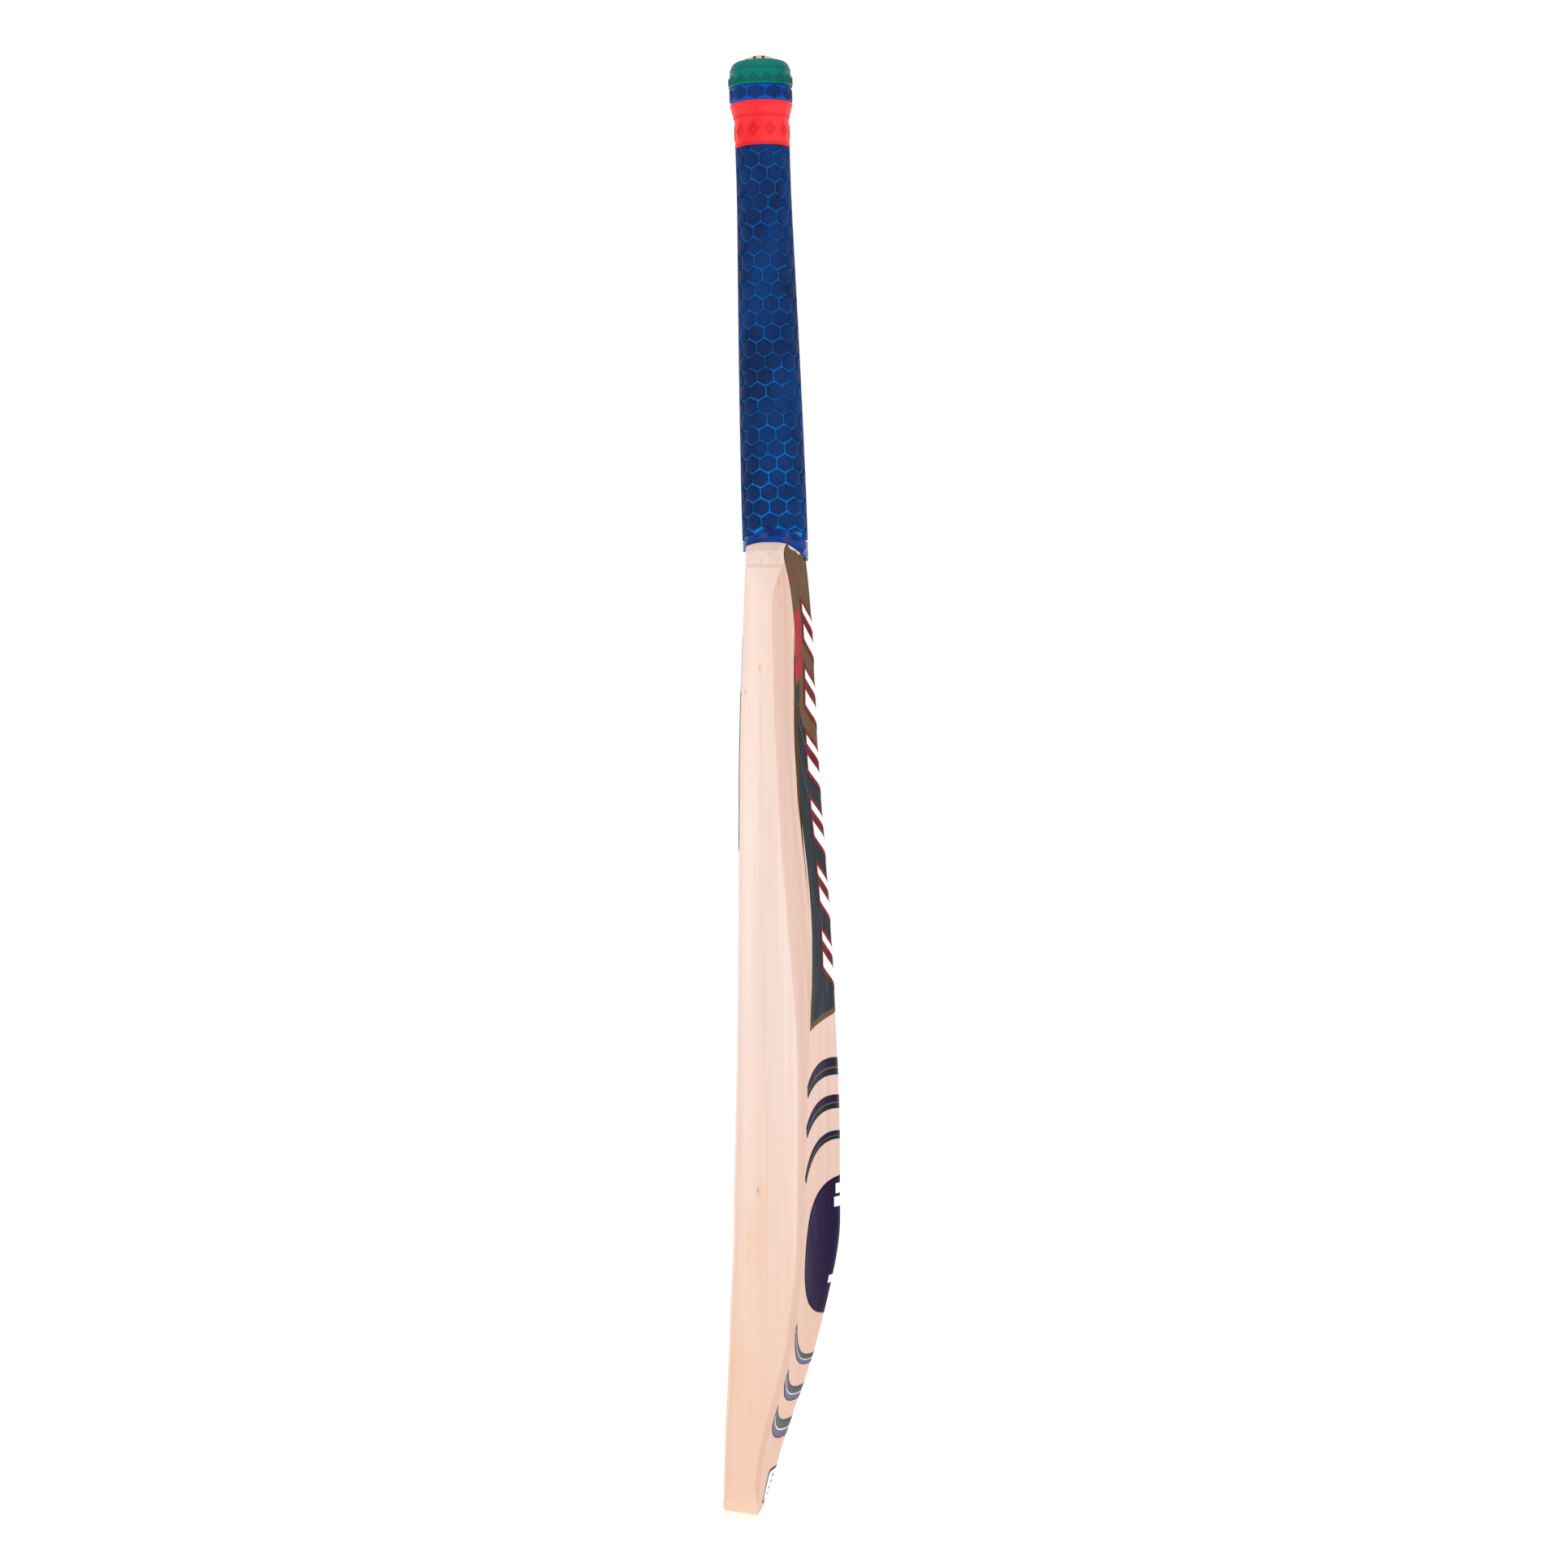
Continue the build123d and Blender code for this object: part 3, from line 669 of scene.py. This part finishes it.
def make_sleeve(pad_blue, painted_shade_blue, ground_blue):
    """The long sleeve: a tube with the grooves' floor as its outside, and ribbed pads standing on it."""
    surface = Surface("grip_sleeve_blue")
    low, high = surface.span()
    oval = Oval(surface, low, high)
    around = 120
    angles = [2 * pi * j / around for j in range(around)]
    bottoms = [lowest(surface, angle, low) for angle in angles]

    ground = -(PAD_HEIGHT + RIB_HEIGHT)
    rings = []
    shares = steps(0, 1, 70)
    for lift, order in ((ground, shares), (-SLEEVE_WALL, shares[::-1])):
        for share in order:
            ring = []
            for angle, bottom in zip(angles, bottoms):
                height = bottom + share * (high - bottom)
                ring.append(on_handle(height, angle, oval.radius(height, angle) + lift))
            rings.append(ring)
    add_tube("grip_sleeve", rings, around, [ground_blue], ["grip_sleeve_blue"])

    plates = Plates()
    turn = 2 * pi / PADS_AROUND
    first = ceil((low - FIRST_ROW) / ROW_PITCH) - 1
    last = floor((high - FIRST_ROW) / ROW_PITCH) + 1
    for row in range(first, last + 1):
        height = FIRST_ROW + row * ROW_PITCH
        for column in range(PADS_AROUND):
            angle = FIRST_PAD + turn * (column + 0.5 * (row % 2))
            outline = hexagon(turn / 2 * oval.radius(height, angle), PAD_SIDE, PAD_RISE, GROOVE)
            bottom = PAD_MARGIN + max(lowest(surface, angle + da, low) for da in (-turn / 3, 0, turn / 3))
            outline = cut_polygon(outline, high - PAD_MARGIN - height, True)
            if len(outline) > 2:
                outline = cut_polygon(outline, bottom - height, False)
            if len(outline) < 3 or max(v for u, v in outline) - min(v for u, v in outline) < SMALLEST_PAD:
                continue
            slant = RIB_SLANT if row % 2 == 0 else -RIB_SLANT
            ribbed_pad(plates, outline, height, angle, slant, oval.radius, PAD_PROUD, ground - PAD_SINK)
    blues = [pad_blue, painted_shade_blue]
    add_piece("grip_sleeve_pads", plates.points, plates.faces, blues, plates.slots)


def make_ring(pad_blue, painted_shade_blue, ground_blue):
    """The blue ring of the collar, with one row of the same pads."""
    surface = Surface("grip_ring_blue")
    low, high = surface.span()
    middle = (low + high) / 2
    radius = surface.radius(middle, 0)
    around = 160
    angles = [2 * pi * j / around for j in range(around)]
    ground = radius - RING_PAD_HEIGHT
    bore = radius - RING_WALL
    rounded = ground - RING_ROUNDING
    profile = [(rounded, low), (ground, low + RING_ROUNDING), (ground, high - RING_ROUNDING),
               (rounded, high), (bore, high), (bore, low)]
    rings = [[on_handle(height, angle, r) for angle in angles] for r, height in profile]
    add_tube("grip_ring", rings, around, [ground_blue], ["grip_ring_blue"])

    plates = Plates()
    turn = 2 * pi / PADS_AROUND
    for column in range(PADS_AROUND):
        outline = hexagon(turn / 2 * radius, RING_PAD_SIDE, RING_PAD_RISE, GROOVE)
        ribbed_pad(plates, outline, middle, FIRST_PAD + turn * column, RIB_SLANT, lambda h, a: radius,
                   PAD_PROUD, -0.7 * MM)
    blues = [pad_blue, painted_shade_blue]
    add_piece("grip_ring_pads", plates.points, plates.faces, blues, plates.slots)


def make_turned_band(name, node, profile, relief, bore, materials, around=320):
    """A band of revolution whose outside follows a profile of radius and height, with raised relief."""
    angles = [2 * pi * j / around for j in range(around)]
    straight = profile[0][0]
    lifts = [[relief(height, angle * straight) for angle in angles] for _, height in profile]
    rings = []
    for (radius, height), row in zip(profile, lifts):
        rings.append([on_handle(height, angle, radius + lift) for angle, lift in zip(angles, row)])

    def side_of_relief(i, j):
        """The second material, a painted shade, is for the steep sides of the relief."""
        if i + 1 >= len(lifts):
            return 0
        k = (j + 1) % around
        corners = (lifts[i][j], lifts[i][k], lifts[i + 1][j], lifts[i + 1][k])
        return int(max(corners) - min(corners) > STEEP)

    top, bottom = profile[-1][1], profile[0][1]
    rings.append([on_handle(top, angle, min(bore, profile[-1][0])) for angle in angles])
    rings.append([on_handle(bottom, angle, bore) for angle in angles])
    add_tube(name, rings, around, materials, [node], side_of_relief)


def ridge(value, middle, half_width, height):
    """Height of a soft ridge at a distance from its middle."""
    return height * (1 - smooth_step(0.5 * half_width, half_width, abs(value - middle)))


def make_red_band(material, deep):
    """The red band: three raised lines and a row of raised diamonds."""
    surface = Surface("grip_band_red")
    low, high = surface.span()
    profile = [(surface.radius(h, SIDE_ANGLE), h) for h in steps(low + SEAM, high - SEAM, 90)]
    straight = profile[0][0]
    bore = straight - SLEEVE_WALL
    pitch = 2 * pi * straight / DIAMONDS_AROUND
    middle = low + DIAMOND_MIDDLE

    def relief(height, run):
        lift = ridge(height, low + 1.0 * MM, 0.55 * MM, 0.3 * MM)
        lift += ridge(height, low + 17.4 * MM, 0.6 * MM, 0.22 * MM)
        lift += ridge(height, high - 1.1 * MM, 0.6 * MM, 0.28 * MM)
        u = abs((run / pitch) % 1.0 - 0.5) * pitch
        away = abs(u / (DIAMOND_HALF_WIDTH * pitch)) + abs((height - middle) / DIAMOND_HALF_HEIGHT)
        lift += DIAMOND_LIFT * (smooth_step(0.60, 0.70, away) - smooth_step(0.92, 1.02, away))
        lift += DIAMOND_LIFT * (1 - smooth_step(0.24, 0.36, away))
        return lift

    make_turned_band("grip_band", "grip_band_red", profile, relief, bore, [material, deep])


def make_green_end(material, deep):
    """The green end, which closes over the cane: two raised lines and a row of chevrons."""
    surface = Surface("grip_end_green")
    low, high = surface.span()
    centre = high - 9.5 * MM
    profile = [(surface.radius(h, SIDE_ANGLE), h) for h in steps(low + SEAM, centre, 60)]
    side = outward(SIDE_ANGLE)
    for lift in steps(0.02, pi / 2, 120):
        out = cos(lift) * side + sin(lift) * UP
        found = surface.tree.ray_cast(axis_point(centre) + REACH * out, -out, REACH)
        if found[0] is None:
            break
        radius = (REACH - found[3]) * cos(lift)
        if radius <= profile[-1][0] + 0.01 * MM:
            profile.append((radius, centre + (REACH - found[3]) * sin(lift)))
    bore = profile[-1][0]
    pitch = 2 * pi * profile[0][0] / CHEVRONS_AROUND
    middle = low + CHEVRON_MIDDLE

    def relief(height, run):
        lift = ridge(height, low + 10.0 * MM, 0.6 * MM, 0.3 * MM)
        lift += ridge(height, low + 0.5 * MM, 0.6 * MM, 0.2 * MM)
        u = abs((run / pitch) % 1.0 - 0.5) * pitch
        v = height - middle
        inside = 1 - smooth_step(2.6 * MM, 3.0 * MM, abs(v))
        for shift in (1.1 * MM, -1.6 * MM):
            away = abs(v + 0.9 * u - shift)
            lift += CHEVRON_LIFT * inside * (1 - smooth_step(0.4 * MM, 0.75 * MM, away))
        return lift

    make_turned_band("grip_end", "grip_end_green", profile, relief, bore, [material, deep])


def make_hem(material):
    """The hem, pulled down over the shoulders: thin rubber with a rolled edge and stretch wrinkles."""
    surface = Surface("grip_hem")
    sleeve = Surface("grip_sleeve_blue")
    low, high = surface.span()
    oval = Oval(surface, low, high, 40)
    sleeve_low = sleeve.span()[0]
    around = 180
    angles = [2 * pi * j / around for j in range(around)]
    bottoms = [lowest(surface, angle, low) for angle in angles]
    tops = [lowest(sleeve, angle, sleeve_low) for angle in angles]
    shares = steps(0, 1, 34)

    def wrinkle(share, angle):
        wave = sin(7 * angle + 5 * share) * sin(pi * share)
        wave += 0.6 * sin(13 * angle - 7 * share + 1.3) * sin(pi * share)
        bead = ridge(share, 0.08, 0.09, 0.45) + ridge(share, 0.95, 0.07, 0.5)
        return 0.16 * MM * wave + 0.55 * MM * bead

    rings = []
    for lift, order in ((0.0, shares), (-HEM_WALL, shares[::-1])):
        for share in order:
            ring = []
            for angle, bottom, top in zip(angles, bottoms, tops):
                height = bottom + share * (top - bottom)
                extra = wrinkle(share, angle) if lift == 0.0 else lift
                ring.append(on_handle(height, angle, oval.radius(height, angle) + extra))
            rings.append(ring)
    add_tube("grip_hem_skin", rings, around, [material], ["grip_hem"])


# ---------------------------------------------------------------- stickers

wood = Surface(*(name for name in frame["nodes"] if name.startswith(("blade", "cane", "rubber_insert"))))


def find_edge(surface, x, inside, outside, side):
    """Height where a sticker ends, between a place on it and one off it."""
    for _ in range(9):
        middle = (inside + outside) / 2
        if surface.depth(x, middle, side) is None:
            outside = middle
        else:
            inside = middle
    return inside


def column_limits(surface, x, low, high, side):
    """Lowest and highest place that a sticker covers in one column, or None."""
    heights = steps(low, high, 90)
    covered = [z for z in heights if surface.depth(x, z, side) is not None]
    if not covered:
        return None
    gap = heights[1] - heights[0]
    return (find_edge(surface, x, covered[0], covered[0] - gap, side),
            find_edge(surface, x, covered[-1], covered[-1] + gap, side))


class Skin:
    """The wood's surface on one side as an even, smoothed grid: layers laid on it never cross."""

    def __init__(self, side, across=1 * MM, along=2 * MM, sink=0.14 * MM):
        (self.x0, _, self.z0), (x1, _, z1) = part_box("blade")
        self.columns, self.rows = ceil((x1 - self.x0) / across) + 1, ceil((z1 - self.z0) / along) + 1
        self.dx, self.dz = (x1 - self.x0) / (self.columns - 1), (z1 - self.z0) / (self.rows - 1)
        raw = []
        for i in range(self.rows):
            z = self.z0 + i * self.dz
            row = [wood.depth(self.x0 + j * self.dx, z, side) for j in range(self.columns)]
            raw.append(self.filled(row) if any(y is not None for y in row) else None)
        raw = self.filled(raw)
        soft = raw
        for _ in range(4):
            soft = [[self.average(soft, i, j) for j in range(self.columns)] for i in range(self.rows)]
        self.grid = [[side * max(side * y, side * y_raw - sink) for y, y_raw in zip(row, row_raw)]
                     for row, row_raw in zip(soft, raw)]

    def filled(self, values):
        """Each gap takes the nearest value beside it."""
        known = [i for i, value in enumerate(values) if value is not None]
        return [values[min(known, key=lambda k: abs(k - i))] for i in range(len(values))]

    def average(self, grid, i, j):
        """Mean of a place and its eight neighbours."""
        rows = [max(0, i - 1), i, min(self.rows - 1, i + 1)]
        columns = [max(0, j - 1), j, min(self.columns - 1, j + 1)]
        return sum(grid[a][b] for a in rows for b in columns) / 9

    def depth(self, x, z):
        """Y of the smoothed surface."""
        u = min(max((x - self.x0) / self.dx, 0), self.columns - 1.001)
        v = min(max((z - self.z0) / self.dz, 0), self.rows - 1.001)
        j, i = int(u), int(v)
        below = self.grid[i][j] + (self.grid[i][j + 1] - self.grid[i][j]) * (u - j)
        above = self.grid[i + 1][j] + (self.grid[i + 1][j + 1] - self.grid[i + 1][j]) * (u - j)
        return below + (above - below) * (v - i)


skins = {1: Skin(1), -1: Skin(-1)}


def willow_depth(x, z, side, lift):
    """Y of a layer that lies on the blade, a little off the wood."""
    return skins[side].depth(x, z) + side * lift


def make_sticker(node, bands, side, row_height=2 * MM, columns=97):
    """A film in the outline of its node. Its bands are shares of its height and inks, from the top down."""
    surface = Surface(node)
    (low_x, _, low), (high_x, _, high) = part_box(node)
    inset = 0.15 * MM
    kept = []
    for x in steps(low_x + inset, high_x - inset, columns):
        limits = column_limits(surface, x, low, high, side)
        if limits:
            kept.append((x, *limits))

    tallest = max(top - bottom for _, bottom, top in kept)
    levels, picks = [0.0], []
    for number, (share, _) in enumerate(bands):
        parts = max(1, ceil(share * tallest / row_height))
        for i in range(parts):
            levels.append(levels[-1] + share / parts)
            picks.append(number)
    points, faces, slots = [], [], []
    rows, wide = len(levels), len(kept)
    for lift in (FILM, FILM_UNDERSIDE):
        for level in levels:
            for x, bottom, top in kept:
                z = top + (bottom - top) * level
                points.append((x, willow_depth(x, z, side, lift), z))
    under = rows * wide
    for i in range(rows - 1):
        for j in range(wide - 1):
            a, b, c, d = i * wide + j, i * wide + j + 1, (i + 1) * wide + j + 1, (i + 1) * wide + j
            faces += [(a, b, c, d)[::side], (a + under, b + under, c + under, d + under)[::-side]]
            slots += [picks[i]] * 2
    rim = [(0, j) for j in range(wide)] + [(i, wide - 1) for i in range(1, rows)]
    rim += [(rows - 1, j) for j in range(wide - 2, -1, -1)] + [(i, 0) for i in range(rows - 2, 0, -1)]
    for (i0, j0), (i1, j1) in zip(rim, rim[1:] + rim[:1]):
        a, b = i0 * wide + j0, i1 * wide + j1
        faces.append((b, a, a + under, b + under)[::side])
        slots.append(picks[min(i0, i1, rows - 2)])
    name = node.replace("label", "film")
    add_piece(name, points, faces, [material for _, material in bands], slots, [node])


def make_print(name, polygons, material, layer, side):
    """Printed shapes over a sticker: convex outlines in X and Z, laid on the blade."""
    plates = Plates()
    lift = FILM + layer * INK
    for polygon in polygons:
        low = min(x for x, z in polygon) + 0.02 * MM
        high = max(x for x, z in polygon) - 0.02 * MM
        if high <= low:
            continue
        corners = [x for x, z in polygon if low < x < high]
        count = max(2, ceil((high - low) / (1 * MM)) + 1)
        offsets = sorted({-x for x in steps(low, high, count) + corners})
        tall = max(z for x, z in polygon) - min(z for x, z in polygon)
        along = max(1, ceil(tall / (1.5 * MM)))

        def place(u, v, up):
            return Vector((u, willow_depth(u, v, side, up), v))

        plates.add(polygon, pi / 2, offsets, along, place, lambda offset: lift, lift - INK, 0.0)
    add_piece(name, plates.points, plates.faces, [material], plates.slots, smooth=False)


def both_sides(polygons):
    """The shapes and their mirror images across the spine."""
    return polygons + [[(-x, z) for x, z in polygon] for polygon in polygons]


def stroke(points, width):
    """Quads along a line through points, as wide as a pen."""
    quads = []
    for (x0, z0), (x1, z1) in zip(points, points[1:]):
        length = sqrt((x1 - x0) ** 2 + (z1 - z0) ** 2)
        nx, nz = -(z1 - z0) / length * width / 2, (x1 - x0) / length * width / 2
        quads.append([(x0 + nx, z0 + nz), (x1 + nx, z1 + nz), (x1 - nx, z1 - nz), (x0 - nx, z0 - nz)])
    return quads


def chevron(tip, reach, drop, width):
    """The right arm of a chevron that points down the blade from the spine."""
    return [(0, tip), (reach, tip + drop), (reach, tip + drop + width), (0, tip + width)]


def make_main_label(inks):
    """The big sticker on the back: brown and teal grounds, panels at the edges and chevrons on the spine."""
    node = "label_back_main"
    make_sticker(node, [(1.0, inks["brown"])], 1)
    (_, _, low), (wide, _, high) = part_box(node)
    surface = Surface(node)
    peak = column_limits(surface, 0.1 * MM, low, high, 1)[0]
    bottom_x = wide - BORDER

    def edge_x(z):
        """How wide the label is at a height."""
        x = wide
        while surface.depth(x, z, 1) is None and x > 0:
            x -= 0.2 * MM
        return x

    teal_side, teal_spine = low + TEAL_TOP_AT_EDGE * MM, low + TEAL_TOP_AT_SPINE * MM
    teal = [(0, peak + 2.2 * BORDER), (bottom_x, low + 2.4 * BORDER),
            (edge_x(teal_side) - 0.8 * BORDER, teal_side), (0, teal_spine)]
    make_print("print_teal", both_sides([teal]), inks["teal"], 1, 1)
    gold = stroke([(0, peak + 1.1 * BORDER), (bottom_x, low + 1.2 * BORDER)], 0.7 * MM)
    for start, end, sag in GOLD_LINES:
        line = []
        for t in steps(0, 1, 12):
            x = 6 * MM + t * (edge_x(low + end * MM) - 8 * MM)
            line.append((x, low + (start + (end - start) * t) * MM - sag * MM * sin(pi * t)))
        gold += stroke(line, 0.8 * MM)
    make_print("print_gold", both_sides(gold), inks["gold"], 3, 1)

    def panel(start, tall, across):
        """A slanting panel from the sticker's outer edge inwards."""
        outer = edge_x(low + start * MM) - 0.6 * MM
        inner = outer - across * MM
        return [(outer, low + start * MM), (outer, low + (start + tall - 2.4) * MM),
                (inner, low + (start + tall + 3) * MM), (inner, low + (start + 5.4) * MM)]

    red = [panel(start, RED_PANEL_TALL, RED_PANEL_WIDE) for start in RED_PANELS]
    blue = [panel(start, tall, BLUE_PANEL_WIDE) for start, tall in BLUE_PANELS]
    outer = edge_x(low + 258 * MM)
    red += stroke([(outer - x * MM, low + z * MM) for x, z in RED_DASH], 1.0 * MM)
    make_print("print_red_panels", both_sides(red), inks["crimson"], 2, 1)
    make_print("print_blue_panels", both_sides(blue), inks["petrol"], 2, 1)

    white, outline = [], []
    for i in range(CHEVRON_ROWS):
        tip = low + FIRST_CHEVRON + i * CHEVRON_PITCH
        for rise, width in CHEVRON_ARMS:
            white.append(chevron(tip + rise, CHEVRON_REACH, CHEVRON_DROP, width))
            outline.append(chevron(tip + rise - 1.25 * CHEVRON_OUTLINE, CHEVRON_REACH + CHEVRON_OUTLINE,
                                   CHEVRON_DROP * 1.09, width + 2.5 * CHEVRON_OUTLINE))
    make_print("print_chevron_edges", both_sides(outline), inks["maroon"], 4, 1)
    make_print("print_chevrons", both_sides(white), inks["white"], 5, 1)


def make_labels():
    """All the stickers, with their inks."""
    inks = {
        "brown": print_ink("ink_brown", (98, 68, 38)),
        "teal": print_ink("ink_teal", (10, 32, 42)),
        "petrol": print_ink("ink_petrol", (14, 42, 58)),
        "gold": print_ink("ink_gold", (112, 84, 40)),
        "crimson": print_ink("ink_crimson", (172, 26, 46)),
        "maroon": print_ink("ink_maroon", (112, 2, 12)),
        "white": print_ink("ink_white", (246, 246, 248), scuffed=0.0),
        "navy": print_ink("ink_navy", (32, 18, 56)),
        "black": print_ink("ink_black", (18, 16, 22)),
        "moss": print_ink("ink_moss", (78, 88, 94)),
        "cream": print_ink("ink_cream", (226, 210, 190)),
        "violet": print_ink("ink_violet", (102, 100, 134)),
        "frame": print_ink("ink_frame", (44, 46, 70)),
        "plum": print_ink("ink_plum", (62, 50, 88)),
        "silver": print_ink("ink_silver", (206, 206, 214), scuffed=0.0),
    }
    make_main_label(inks)
    dark = [(0.07, inks["black"]), (0.46, inks["navy"]), (0.10, inks["gold"]), (0.30, inks["teal"]),
            (0.07, inks["black"])]
    light = [(0.07, inks["frame"]), (0.42, inks["moss"]), (0.09, inks["cream"]), (0.35, inks["violet"]),
             (0.07, inks["frame"])]
    for i in (1, 2, 3):
        make_sticker(f"label_arc_upper_{i}", dark, 1, 1 * MM)
        make_sticker(f"label_arc_lower_{i}", light, 1, 1 * MM)

    node = "label_back_oval"
    make_sticker(node, [(1.0, inks["navy"])], 1)
    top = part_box(node)[1][2]
    bars = []
    for drop, tall, half in OVAL_BARS:
        x, z0, z1 = half * MM, top - drop * MM, top - (drop + tall) * MM
        bars.append([(-x, z0), (x, z0), (x, z1), (-x, z1)])
    make_print("print_oval_bars", bars, inks["white"], 1, 1)

    node = "label_toe"
    make_sticker(node, [(1.0, inks["frame"])], 1)
    (_, _, low), (wide, _, high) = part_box(node)
    line, r = 1.3 * MM, 3.2 * MM
    w, z0, z1 = wide - line, low + line, high - line
    panel = []
    corners = ((w - r, z1 - r), (r - w, z1 - r), (r - w, z0 + r), (w - r, z0 + r))
    for quarter, (x, z) in enumerate(corners):
        for a in steps(radians(90 * quarter), radians(90 * quarter + 90), 5):
            panel.append((x + r * cos(a), z + r * sin(a)))
    make_print("print_toe_panel", [panel], inks["white"], 1, 1)
    marks = []
    for i in range(4):
        z = low + (4.6 + 3.6 * i) * MM
        marks.append([(3 * MM, z), (11 * MM, z), (11 * MM, z - 1.3 * MM), (3 * MM, z - 1.3 * MM)])
    make_print("print_toe_marks", both_sides(marks), inks["violet"], 2, 1)

    bands = [(0.18, inks["silver"]), (0.04, inks["white"]), (0.70, inks["plum"]), (0.08, inks["navy"])]
    make_sticker("label_face", bands, -1)


# ---------------------------------------------------------------- the bat

def finish_cad(prefix, material):
    """Gives every CAD node of a kind its material."""
    for name, node in frame["nodes"].items():
        if name.startswith(prefix):
            node.data.materials.clear()
            node.data.materials.append(material)


make_camera()
make_studio()

finish_cad("blade", willow())
finish_cad("cane", cane())
finish_cad("rubber_insert", matt("insert_rubber", (52, 44, 38), (78, 68, 58), 0.8))
finish_cad("twine", matt("waxed_twine", (190, 168, 130), (214, 196, 160), 0.7, grain=1500, depth=0.1))
finish_cad("toe_guard", toe_rubber())

pad_blue = matt("rubber_pad_blue", (2, 40, 92), (6, 60, 122), 0.46)
ground_blue = groove_blue()
# painted shade: a darker copy of the pad blue for the low faces of the ribs
painted_shade_blue = matt("rubber_blue_painted_shade", (2, 22, 58), (4, 30, 74), 0.6)
make_sleeve(pad_blue, painted_shade_blue, ground_blue)
make_ring(pad_blue, painted_shade_blue, matt("rubber_ring_blue", (6, 60, 150), (10, 78, 176), 0.5))
# the second red and the second green are painted shade for the steep sides of the relief
make_red_band(matt("rubber_red", (232, 34, 42), (244, 56, 60), 0.45),
              matt("rubber_red_painted_shade", (206, 26, 36), (222, 36, 42), 0.6))
make_green_end(matt("rubber_green", (0, 90, 82), (2, 114, 104), 0.42),
               matt("rubber_green_painted_shade", (0, 66, 62), (0, 78, 72), 0.6))
make_hem(hem_rubber())
make_labels()
